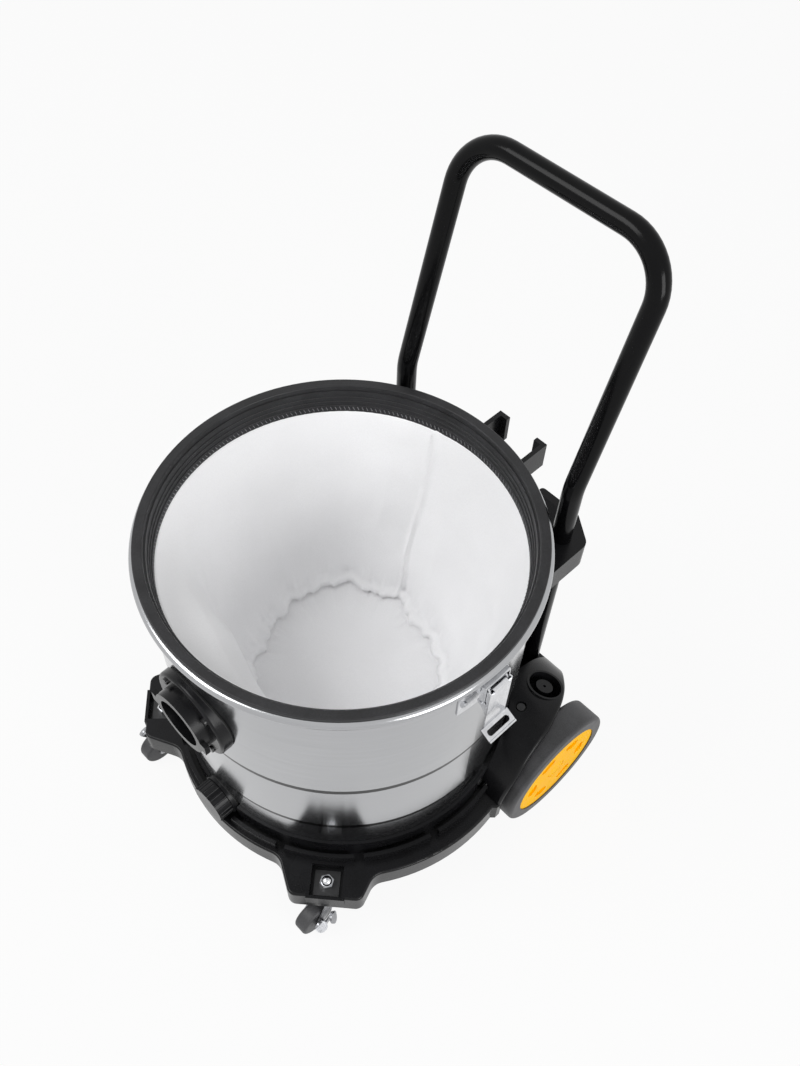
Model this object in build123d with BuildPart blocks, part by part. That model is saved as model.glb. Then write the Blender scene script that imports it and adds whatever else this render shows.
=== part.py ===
from build123d import *
import math
import os

os.makedirs("parts", exist_ok=True)

# Wet and dry shop vacuum with its motor head lifted off: a stainless drum on a moulded dolly, a
# cloth filter hanging in the mouth, a bent push handle, toggle latches, two castors and two wheels.
# Millimetres, +Z up, +Y towards the handle, origin on the floor under the axis of the drum.

# Fits
seat_gap = 0.15  # between fixed pieces that meet on a curved face
lift_gap = 0.4  # between pieces that part or swing past each other
running_gap = 0.05  # radial, turning pin in its bore
hole_gap = 0.3  # radial, screw or bolt in its clearance hole
collar_seat_gap = 0.3  # between the rim and the collar that rests on it
plan_tolerance = 0.5  # how near a plan corner lies to its radius

# Drum
tank_r = 215.5
swage_step = 2.5
tank_wall = 1.0
tank_corner_r = 12.0
tank_top_z = 497.0
rim_r = 6.0
upper_swage_z = 311.0
lower_swage_z = 202.0
swage_depth = 1.6
swage_half_height = 3.0

# Filter collar and bag
collar_overhang = 6.5
collar_flange_h = 5.7
collar_flange_w = 11.0
collar_skirt_gap = 0.8
collar_skirt_h = 7.5
collar_foot_z = 468.0
collar_foot_w = 4.0
collar_wall = 3.0
bag_mouth_inset = 12.5
bag_wall = 2.0
bag_taper = 77.0
bag_floor_z = 210.0
bag_seam_r = 3.0
bag_seam_inset = 5.0

# Hose inlet on the front of the drum
inlet_z = 378.0
inlet_bore_r = 30.0
inlet_sleeve_r = 33.0
inlet_sleeve_reach = 6.0
inlet_flange_r = 55.0
inlet_flange_h = 8.0
inlet_collar_r = 39.0
inlet_collar_h = 15.0
inlet_lug_r = 46.0
inlet_lug_w = 16.0
inlet_lug_h = 6.0
inlet_screw_ring_r = 46.5
inlet_screw_r = 2.0
inlet_screw_head_r = 4.2
inlet_screw_head_h = 2.6
inlet_screw_count = 4
inlet_screw_start = 45.0
gasket_h = 1.5
hood_plate_h = 3.0
hood_r = 41.0
hood_depth = 16.0
hood_wall = 2.5
hood_mouth_half_w = 22.0

# Drain on the front, low down
drain_z = 142.0
drain_flange_r = 28.0
drain_flange_h = 4.0
drain_spout_r = 17.0
drain_spout_reach = 15.0
drain_bore_r = 13.0
drain_sleeve_r = 16.0
drain_sleeve_reach = 10.0
drain_nut_r = 23.0
drain_nut_h = 6.0
drain_nut_sides = 8
drain_cap_r = 26.0
drain_cap_floor = 3.0
drain_cap_ribs = 20
drain_cap_rib_r = 1.8
drain_seal_h = 2.0

# Moulded dolly
base_z = 76.0
deck_z = 112.0
deck_wall = 4.0
deck_hole_r = 120.0
skirt_reach = 21.5
flank_reach = 12.0
deck_edge_r = 3.0
lip_top_z = 146.0
lip_wall = 4.0
kerb_inset = 6.0
kerb_wall = 5.0
kerb_top_z = 128.0
kerb_slots = 14
kerb_slot_w = 12.0
deck_ribs = 12
deck_rib_w = 3.0
deck_rib_h = 10.0
deck_rib_inner_r = 124.0

# Castor pods on the front diagonals
castor_angle = 48.25
castor_inset = 21.7
pod_reach = 39.0
pod_end_half_w = 45.0
pod_root_inset = 36.0
pod_root_half_w = 74.0
pod_end_corner_r = 12.0
pod_root_blend_r = 22.0
pod_pocket_w = 40.0
pod_pocket_wall = 4.0
pod_pocket_z = 98.0
pod_boss_r = 17.0

# Castors
castor_wheel_r = 25.0
castor_wheel_w = 20.0
castor_wheel_round = 4.0
castor_trail = 26.0
castor_axle_r = 3.0
castor_stem_r = 5.0
castor_stem_head_r = 9.0
castor_stem_head_h = 4.0
castor_fork_gap = 1.2
castor_fork_wall = 2.0
castor_fork_top_z = 75.2
castor_fork_crown_h = 9.0
castor_crown_r = 19.0
castor_cheek_w = 26.6
castor_washer_w = 32.0
castor_washer_h = 2.5
castor_nut_across = 16.0
castor_nut_h = 8.0
castor_nut_dome_r = 7.0
brake_hub_r = 6.5
brake_hub_h = 6.0
brake_wing_reach = 19.0
brake_wing_r = 6.5
brake_wing_h = 2.5
brake_wing_spread = 37.0
brake_rest_tilt = 70.0
brake_pad_r = 8.0
brake_pad_h = 3.0
brake_pad_reach = 3.0

# Rear wheels
wheel_r = 90.0
wheel_w = 40.0
wheel_overhang = 27.4
axle_set_in = 88.3
axle_r = 6.0
tyre_round = 5.0
hub_r = 71.0
hub_rim_wall = 7.0
hub_side_inset = 1.5
hub_web_wall = 6.0
hub_boss_r = 17.0
hub_pockets = 6
hub_pocket_ring_r = 46.0
hub_pocket_l = 26.0
hub_pocket_w = 15.0
hub_pocket_depth = 3.0
hub_ribs = 6
hub_rib_w = 3.0
bush_r = 9.0
hub_cap_r = 15.0
hub_cap_h = 3.0
hub_cap_dome = 2.0
clip_r = 11.0
clip_h = 1.5
spacer_r = 12.0

# Wheel housings over the rear corners of the dolly
well_side_gap = 6.4
well_gap = 7.0
arch_wall = 8.0
cheek_wall = 4.0
housing_inset = 13.4
housing_nose_ahead = 77.7
housing_shoulder_inset = 10.0
housing_shoulder_ahead = 9.7
housing_turn_inset = 29.0
housing_turn_behind = 44.3
housing_rear_inset = 81.0
housing_rear_behind = 92.3
housing_depth = 96.0
housing_edge_r = 4.0
corner_margin = 18.0
corner_round = 12.0
nose_round = 120.0
flank_round = 150.0
turn_round = 40.0
pillar_r = 8.0
pillar_top_z = 150.0
socket_inset = 57.2
socket_behind = 35.5
socket_r = 22.0
socket_wall = 3.0
socket_depth = 24.0
socket_peg_r = 11.5
socket_peg_drop = 3.0
socket_peg_hole_r = 2.0
housing_screw_inset = 56.0
housing_screw_ahead = 13.4
housing_screw_r = 3.0
housing_screw_head_r = 5.5
housing_screw_head_h = 3.5
housing_screw_sink_r = 7.0
housing_screw_sink = 5.0
housing_screw_grip = 12.0

# Push handle
handle_r = 12.0
handle_wall = 1.5
handle_leg_x = 130.0
handle_stand_off = 8.5
handle_foot_z = 82.0
handle_kink_z = 503.0
handle_lean = 15.0
handle_top_z = 777.0
handle_corner_r = 57.0
handle_kink_r = 70.0
handle_socket_r = 16.0
handle_screw_r = 3.0
handle_screw_head_r = 5.5
handle_screw_head_h = 3.5

# Tool holder behind the drum
bracket_z = 378.0
bracket_h = 36.0
bracket_wall = 6.0
bracket_half_angle = 48.0
bracket_ear_outside = 28.0
bracket_ear_ahead = 54.0
bracket_ear_behind = 14.0
bracket_ear_corner_inside = 8.0
bracket_ear_corner_r = 14.0
bracket_ear_inside = 23.0
bracket_bar_behind = 40.0
bracket_bar_w = 10.0
bracket_bar_round = 4.7
bracket_bar_end_x = 66.0
holder_x = 38.0
holder_reach = 34.0
holder_tip_w = 16.0
holder_z = 402.0
holder_h = 38.0
bracket_screw_angle = 17.0
bracket_screw_r = 2.5
bracket_screw_head_r = 5.0
bracket_screw_head_h = 3.0

# Toggle latches on both sides of the drum
latch_plate_wall = 1.5
latch_plate_z = 432.0
latch_plate_h = 48.0
latch_plate_half_w = 38.0
latch_ear_wall = 2.0
latch_ear_y = 12.0
latch_ear_r = 5.5
latch_ear_h = 22.0
latch_stand_off = 10.5
latch_pivot_z = 472.0
latch_pin_r = 2.5
lever_wall = 1.5
lever_half_w = 16.0
lever_knuckle_r = 5.0
lever_knuckle_half_w = 10.0
lever_face_offset = 8.5
lever_flange_depth = 13.0
lever_flange_z = 428.0
lever_lip_z = 403.0
lever_foot_z = 395.0
lever_lip_reach = 13.5
lever_lip_half_w = 20.0
lever_slot_l = 32.0
lever_slot_w = 7.0
claw_drop = 20.0
claw_wall = 1.5
claw_side_gap = 0.6
claw_arm_w = 7.0
claw_hook_z = 482.0
claw_hook_reach = 4.0
latch_rivet_y = 31.0
latch_rivet_z = 450.0
latch_rivet_r = 2.0
latch_rivet_head_r = 4.0
latch_rivet_head_h = 1.6

# Sizes that follow from the ones above
tank_mid_r = tank_r - swage_step
tank_low_r = tank_mid_r - swage_step
collar_flange_r = tank_r + collar_overhang
bag_mouth_r = tank_r - bag_mouth_inset
bag_floor_r = bag_mouth_r - bag_taper
skirt_r = tank_low_r + skirt_reach
flank_r = skirt_r + flank_reach
kerb_r = skirt_r - kerb_inset
deck_rib_outer_r = skirt_r - deck_wall / 2
pod_end_r = skirt_r + pod_reach
pod_root_r = skirt_r - pod_root_inset
castor_r = pod_end_r - castor_inset
castor_x = castor_r * math.cos(math.radians(castor_angle))
castor_y = -castor_r * math.sin(math.radians(castor_angle))
wheel_face_x = skirt_r + wheel_overhang
axle_y = skirt_r - axle_set_in
handle_leg_y = tank_r + handle_stand_off
housing_front_x = wheel_face_x - housing_inset
housing_nose_y = axle_y - housing_nose_ahead
housing_shoulder_x = housing_front_x - housing_shoulder_inset
housing_shoulder_y = axle_y - housing_shoulder_ahead
housing_turn_x = housing_front_x - housing_turn_inset
housing_turn_y = axle_y + housing_turn_behind
housing_rear_x = housing_front_x - housing_rear_inset
housing_rear_y = axle_y + housing_rear_behind
housing_inner_x = housing_front_x - housing_depth
housing_screw_x = housing_front_x - housing_screw_inset
housing_screw_y = axle_y - housing_screw_ahead
socket_x = housing_front_x - socket_inset
socket_y = axle_y + socket_behind
corner_inner_x = handle_leg_x - corner_margin
bracket_ear_x = handle_leg_x + bracket_ear_outside
bracket_ear_front_y = handle_leg_y - bracket_ear_ahead
bracket_ear_back_y = handle_leg_y + bracket_ear_behind
bracket_ear_corner_x = handle_leg_x - bracket_ear_corner_inside
bracket_ear_inner_x = handle_leg_x - bracket_ear_inside
bracket_bar_y = handle_leg_y + bracket_bar_behind
holder_reach_y = bracket_bar_y + holder_reach
latch_pivot_x = tank_r + latch_stand_off
rim_axis_r = tank_r + rim_r - tank_wall
rim_axis_z = tank_top_z - rim_r
tank_inner_r = tank_r - tank_wall
axle_z = wheel_r
wheel_inner_x = wheel_face_x - wheel_w
well_x = wheel_inner_x - well_side_gap
well_r = wheel_r + well_gap
arch_r = well_r + arch_wall
arch_front_y = axle_y - arch_r
corner_back_y = housing_rear_y + handle_socket_r
handle_screw_z = (base_z + deck_z) / 2
handle_screw_spots = [(handle_leg_x, handle_screw_z), (-handle_leg_x, handle_screw_z)]
handle_top_y = handle_leg_y + (handle_top_z - handle_kink_z) * math.tan(math.radians(handle_lean))
collar_flange_z = tank_top_z + collar_seat_gap
drain_flange_y = tank_low_r + gasket_h + drain_flange_h
inlet_flange_y = tank_r + gasket_h + inlet_flange_h
axle_line = Axis((0, axle_y, axle_z), (1, 0, 0))
axle_plane = Plane(origin=(0, axle_y, axle_z), x_dir=(1, 0, 0), z_dir=(0, 0, 1))


def save(piece, name):
    """Label a finished piece and write it."""
    piece.part.label = name
    export_step(piece.part, f"parts/{name}.step")


def save_pair(piece, name):
    """Write the right-hand piece and its mirror image on the left."""
    save(piece, f"{name}_right")
    with BuildPart() as twin:
        mirror(piece.part, about=Plane.YZ)
    save(twin, f"{name}_left")


def front_plane(y):
    """Plane facing the front, y millimetres ahead of the drum's axis."""
    return Plane.XZ.offset(y)


def side_plane(x):
    """Plane facing +X at x, with local x along +Y and local y along +Z."""
    return Plane.YZ.offset(x)


def radial_plane(angle, z, r):
    """Plane facing away from the drum's axis, at an angle from +X, height z and radius r."""
    c = math.cos(math.radians(angle))
    d = math.sin(math.radians(angle))
    return Plane(origin=(r * c, r * d, z), x_dir=(-d, c, 0), z_dir=(c, d, 0))


# Drum: floor, stepped wall with two swaged grooves, rolled rim
def drum_outline(inset):
    """Corners of the drum's half section, drawn in by inset."""
    low = tank_low_r - inset
    middle = tank_mid_r - inset
    top = tank_r - inset
    floor = deck_z + inset
    return [
        (0, floor),
        (low, floor),
        (low, lower_swage_z - swage_half_height),
        (low - swage_depth, lower_swage_z),
        (middle, lower_swage_z + swage_half_height),
        (middle, upper_swage_z - swage_half_height),
        (middle - swage_depth, upper_swage_z),
        (top, upper_swage_z + swage_half_height),
        (top, rim_axis_z),
        (0, rim_axis_z),
    ]


inlet_screw_turns = [
    math.radians(inlet_screw_start + 360 / inlet_screw_count * i) for i in range(inlet_screw_count)
]
inlet_screw_points = [
    (inlet_screw_ring_r * math.cos(turn), inlet_z + inlet_screw_ring_r * math.sin(turn))
    for turn in inlet_screw_turns
]

rivet_turn = math.degrees(math.asin(latch_rivet_y / tank_r))
rivet_angles = [rivet_turn, -rivet_turn, 180 + rivet_turn, 180 - rivet_turn]
bracket_screw_angles = [90 - bracket_screw_angle, 90 + bracket_screw_angle]
bracket_screw_z = bracket_z + bracket_h / 2

with BuildPart() as tank:
    with BuildSketch(Plane.XZ):
        with BuildLine():
            outline = drum_outline(0)
            FilletPolyline(outline, radius=[0, tank_corner_r] + [0] * 8, close=True)
        make_face()
    revolve(axis=Axis.Z)
    with BuildSketch(Plane.XZ):
        with BuildLine():
            outline = drum_outline(tank_wall)
            FilletPolyline(outline, radius=[0, tank_corner_r - tank_wall] + [0] * 8, close=True)
        make_face()
    revolve(axis=Axis.Z, mode=Mode.SUBTRACT)
    with BuildSketch(Plane.XZ):
        with Locations((rim_axis_r, rim_axis_z)):
            Circle(rim_r)
            Circle(rim_r - tank_wall, mode=Mode.SUBTRACT)
        with Locations((tank_r, rim_axis_z)):
            Rectangle(rim_r - 2 * tank_wall, rim_r, align=(Align.MIN, Align.MAX), mode=Mode.SUBTRACT)
        with Locations((tank_inner_r, rim_axis_z)):
            Rectangle(tank_wall, rim_r, align=(Align.MIN, Align.MAX))
    revolve(axis=Axis.Z)
    with BuildSketch(front_plane(0)):
        with Locations((0, inlet_z)):
            Circle(inlet_sleeve_r + hole_gap)
        with Locations((0, drain_z)):
            Circle(drain_sleeve_r + hole_gap)
        with Locations(*inlet_screw_points):
            Circle(inlet_screw_r + hole_gap)
    extrude(amount=tank_r + rim_r, mode=Mode.SUBTRACT)
    for angle in rivet_angles:
        with BuildSketch(radial_plane(angle, latch_rivet_z, tank_inner_r - rim_r)):
            Circle(latch_rivet_r + hole_gap)
        extrude(amount=2 * rim_r, mode=Mode.SUBTRACT)
    for angle in bracket_screw_angles:
        with BuildSketch(radial_plane(angle, bracket_screw_z, tank_inner_r - rim_r)):
            Circle(bracket_screw_r + hole_gap)
        extrude(amount=2 * rim_r, mode=Mode.SUBTRACT)
save(tank, "tank")

# Filter collar: flange on the rim, short skirt in the mouth, slope down to the cloth
with BuildPart() as filter_ring:
    skirt_r_out = tank_inner_r - collar_skirt_gap
    flange_in = collar_flange_r - collar_flange_w
    flange_top = collar_flange_z + collar_flange_h
    with BuildSketch(Plane.XZ):
        with BuildLine():
            Polyline(
                (collar_flange_r, collar_flange_z),
                (collar_flange_r, flange_top),
                (flange_in, flange_top),
                (flange_in - collar_wall / 2, collar_flange_z),
                (flange_in - collar_wall, collar_flange_z),
                (bag_mouth_r, collar_foot_z + collar_wall),
                (bag_mouth_r, collar_foot_z),
                (bag_mouth_r + collar_foot_w, collar_foot_z),
                (bag_mouth_r + collar_foot_w, collar_foot_z + collar_wall),
                (skirt_r_out - collar_wall / 2, collar_flange_z - collar_skirt_h),
                (skirt_r_out, collar_flange_z - collar_skirt_h),
                (skirt_r_out, collar_flange_z),
                close=True,
            )
        make_face()
    revolve(axis=Axis.Z)
    crown_edges = filter_ring.edges().group_by(Axis.Z)[-1]
    fillet(crown_edges, radius=collar_wall / 2)
save(filter_ring, "filter_ring")

# Filter bag: cloth cone hung from the collar, flat bottom with a raised seam
with BuildPart() as filter_bag:
    bag_slope = (bag_mouth_r - bag_floor_r) / (collar_foot_z - bag_floor_z)
    with BuildSketch(Plane.XZ):
        with BuildLine():
            Polyline(
                (0, bag_floor_z - bag_wall),
                (bag_floor_r + bag_wall - bag_slope * bag_wall, bag_floor_z - bag_wall),
                (bag_mouth_r + bag_wall, collar_foot_z),
                (bag_mouth_r, collar_foot_z),
                (bag_floor_r, bag_floor_z),
                (0, bag_floor_z),
                close=True,
            )
        make_face()
        with Locations((bag_floor_r - bag_seam_inset, bag_floor_z)):
            Circle(bag_seam_r)
    revolve(axis=Axis.Z)
save(filter_bag, "filter_bag")

# Hose inlet: saddle flange, bayonet collar with two lugs, sleeve through the wall
saddle_r = tank_r + gasket_h + 2 * seat_gap
with BuildPart() as inlet_fitting:
    with BuildSketch(front_plane(tank_low_r - inlet_flange_r / 2)):
        with Locations((0, inlet_z)):
            Circle(inlet_flange_r)
    extrude(amount=inlet_flange_y - tank_low_r + inlet_flange_r / 2)
    front_rim = inlet_fitting.faces().sort_by(Axis.Y)[0].edges()
    fillet(front_rim, radius=inlet_flange_h / 2)
    with BuildSketch(front_plane(inlet_flange_y)):
        with Locations((0, inlet_z)):
            Circle(inlet_collar_r)
    extrude(amount=inlet_collar_h)
    with BuildSketch(front_plane(inlet_flange_y + inlet_collar_h - inlet_lug_h)):
        with Locations((0, inlet_z)):
            Rectangle(2 * inlet_lug_r, inlet_lug_w)
            Circle(inlet_bore_r, mode=Mode.SUBTRACT)
    extrude(amount=inlet_lug_h)
    with BuildSketch(Plane.XY.offset(inlet_z - inlet_flange_r)):
        Circle(saddle_r)
    extrude(amount=2 * inlet_flange_r, mode=Mode.SUBTRACT)
    with BuildSketch(front_plane(tank_inner_r - inlet_sleeve_reach)):
        with Locations((0, inlet_z)):
            Circle(inlet_sleeve_r)
    extrude(amount=inlet_flange_y - tank_inner_r + inlet_sleeve_reach)
    with BuildSketch(front_plane(0)):
        with Locations((0, inlet_z)):
            Circle(inlet_bore_r)
        with Locations(*inlet_screw_points):
            Circle(inlet_screw_r + hole_gap)
    extrude(amount=inlet_flange_y + inlet_collar_h, mode=Mode.SUBTRACT)
save(inlet_fitting, "inlet_fitting")

# Gasket between the inlet's saddle and the drum
with BuildPart() as inlet_gasket:
    with BuildSketch(Plane.XY.offset(inlet_z - inlet_flange_r)):
        Circle(tank_r + seat_gap + gasket_h)
        Circle(tank_r + seat_gap, mode=Mode.SUBTRACT)
    extrude(amount=2 * inlet_flange_r)
    with BuildSketch(front_plane(0)):
        with Locations((0, inlet_z)):
            Circle(inlet_flange_r - gasket_h)
            Circle(inlet_sleeve_r + hole_gap, mode=Mode.SUBTRACT)
        with Locations(*inlet_screw_points):
            Circle(inlet_screw_r + hole_gap, mode=Mode.SUBTRACT)
    extrude(amount=inlet_flange_y, mode=Mode.INTERSECT)
save(inlet_gasket, "inlet_gasket")

# Hood inside the drum that turns the incoming air down past the filter
with BuildPart() as inlet_deflector:
    hood_back_y = tank_inner_r - hood_depth - hood_plate_h
    hood_plate_r = inlet_flange_r - gasket_h
    with BuildSketch(front_plane(hood_back_y)):
        with Locations((0, inlet_z)):
            Circle(hood_plate_r)
    extrude(amount=tank_r - hood_back_y)
    with BuildSketch(Plane.XY.offset(inlet_z - inlet_flange_r)):
        Circle(tank_inner_r - seat_gap - hood_plate_h)
    extrude(amount=2 * inlet_flange_r, mode=Mode.SUBTRACT)
    with BuildSketch(front_plane(hood_back_y)):
        with Locations((0, inlet_z)):
            Circle(hood_r)
    extrude(amount=tank_r - hood_back_y)
    with BuildSketch(Plane.XY.offset(inlet_z - inlet_flange_r)):
        Circle(2 * tank_r)
        Circle(tank_inner_r - seat_gap, mode=Mode.SUBTRACT)
    extrude(amount=2 * inlet_flange_r, mode=Mode.SUBTRACT)
    with BuildSketch(front_plane(hood_back_y + hood_wall)):
        with Locations((0, inlet_z)):
            Circle(hood_r - hood_wall)
        with Locations((0, inlet_z - inlet_sleeve_r)):
            Rectangle(2 * hood_mouth_half_w, hood_plate_r, align=(Align.CENTER, Align.MAX))
    extrude(amount=tank_r - hood_back_y, mode=Mode.SUBTRACT)
    with BuildSketch(front_plane(hood_back_y + hood_wall)):
        with Locations(*inlet_screw_points):
            Circle(inlet_screw_r + hole_gap)
    extrude(amount=tank_r - hood_back_y, mode=Mode.SUBTRACT)
save(inlet_deflector, "inlet_deflector")

# Screws that clamp the inlet, its gasket and the hood
with BuildPart() as inlet_screws:
    with BuildSketch(front_plane(inlet_flange_y)):
        with Locations(*inlet_screw_points):
            Circle(inlet_screw_head_r)
    extrude(amount=inlet_screw_head_h)
    with BuildSketch(front_plane(inlet_flange_y)):
        with Locations(*inlet_screw_points):
            Circle(inlet_screw_r)
    extrude(amount=-(inlet_flange_y - tank_inner_r + 2 * hood_plate_h + inlet_flange_h / 2))
save(inlet_screws, "inlet_screws")

# Drain: flanged spout through the wall, gasket outside, ring nut inside
with BuildPart() as drain_spout:
    with BuildSketch(front_plane(tank_low_r - drain_flange_r / 2)):
        with Locations((0, drain_z)):
            Circle(drain_flange_r)
    extrude(amount=drain_flange_y - tank_low_r + drain_flange_r / 2)
    with BuildSketch(Plane.XY.offset(drain_z - drain_flange_r)):
        Circle(tank_low_r + gasket_h + 2 * seat_gap)
    extrude(amount=2 * drain_flange_r, mode=Mode.SUBTRACT)
    with BuildSketch(front_plane(drain_flange_y)):
        with Locations((0, drain_z)):
            Circle(drain_spout_r)
    extrude(amount=drain_spout_reach)
    with BuildSketch(front_plane(tank_low_r - drain_sleeve_reach)):
        with Locations((0, drain_z)):
            Circle(drain_sleeve_r)
    extrude(amount=drain_flange_y - tank_low_r + drain_sleeve_reach)
    with BuildSketch(front_plane(tank_low_r - drain_sleeve_reach)):
        with Locations((0, drain_z)):
            Circle(drain_bore_r)
    extrude(amount=drain_flange_y - tank_low_r + drain_sleeve_reach + drain_spout_reach, mode=Mode.SUBTRACT)
save(drain_spout, "drain_spout")

with BuildPart() as drain_gasket:
    with BuildSketch(Plane.XY.offset(drain_z - drain_flange_r)):
        Circle(tank_low_r + seat_gap + gasket_h)
        Circle(tank_low_r + seat_gap, mode=Mode.SUBTRACT)
    extrude(amount=2 * drain_flange_r)
    with BuildSketch(front_plane(0)):
        with Locations((0, drain_z)):
            Circle(drain_flange_r - gasket_h)
            Circle(drain_sleeve_r + hole_gap, mode=Mode.SUBTRACT)
    extrude(amount=drain_flange_y, mode=Mode.INTERSECT)
save(drain_gasket, "drain_gasket")

with BuildPart() as drain_nut:
    nut_face_y = math.sqrt((tank_low_r - tank_wall) ** 2 - drain_nut_r**2) - seat_gap
    with BuildSketch(front_plane(nut_face_y)):
        with Locations((0, drain_z)):
            RegularPolygon(drain_nut_r, drain_nut_sides)
            Circle(drain_sleeve_r + seat_gap, mode=Mode.SUBTRACT)
    extrude(amount=-drain_nut_h)
save(drain_nut, "drain_nut")

# Drain cap: ribbed grip over the spout, seal in its floor
cap_back_y = drain_flange_y + lift_gap
cap_seal_y = drain_flange_y + drain_spout_reach + lift_gap
with BuildPart() as drain_cap:
    with BuildSketch(front_plane(cap_back_y)):
        with Locations((0, drain_z)):
            Circle(drain_cap_r - drain_cap_rib_r / 2)
            with PolarLocations(drain_cap_r - drain_cap_rib_r, drain_cap_ribs):
                Circle(drain_cap_rib_r)
    extrude(amount=cap_seal_y - cap_back_y + drain_seal_h + drain_cap_floor)
    with BuildSketch(front_plane(cap_back_y)):
        with Locations((0, drain_z)):
            Circle(drain_spout_r + lift_gap)
    extrude(amount=cap_seal_y - cap_back_y + drain_seal_h, mode=Mode.SUBTRACT)
save(drain_cap, "drain_cap")

with BuildPart() as drain_seal:
    with BuildSketch(front_plane(cap_seal_y)):
        with Locations((0, drain_z)):
            Circle(drain_spout_r)
    extrude(amount=drain_seal_h)
save(drain_seal, "drain_seal")


# Plan outlines shared by the dolly and the housings
def diagonal(radial, lateral):
    """Point of the right-hand castor pod, measured along and across its diagonal."""
    c = castor_x / math.hypot(castor_x, castor_y)
    s = castor_y / math.hypot(castor_x, castor_y)
    return (radial * c - lateral * s, radial * s + lateral * c)


def rear_corner():
    """Face of one rear corner in plan, from the wheel's front round to the handle's foot."""
    with BuildSketch() as corner:
        with BuildLine():
            FilletPolyline(
                (corner_inner_x, corner_back_y),
                (corner_inner_x, axle_y),
                (skirt_r - arch_wall, arch_front_y - 2 * arch_wall),
                (housing_front_x - arch_wall, arch_front_y - arch_wall),
                (housing_front_x, arch_front_y),
                (housing_front_x, housing_nose_y),
                (housing_shoulder_x, housing_shoulder_y),
                (housing_turn_x, housing_turn_y),
                (housing_rear_x, corner_back_y),
                radius=[corner_round, 0, 0, 0, 0, nose_round, nose_round, flank_round, turn_round],
                close=True,
            )
        make_face()
    return corner.sketch


corner_right = rear_corner()

# Wider sides of the dolly in plan, from the castor pods back to the wheels
with BuildSketch() as dolly_sides:
    Circle(flank_r)
    with Locations((0, castor_y)):
        Rectangle(
            2 * flank_r, arch_front_y - castor_y, align=(Align.CENTER, Align.MIN), mode=Mode.INTERSECT
        )

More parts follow.
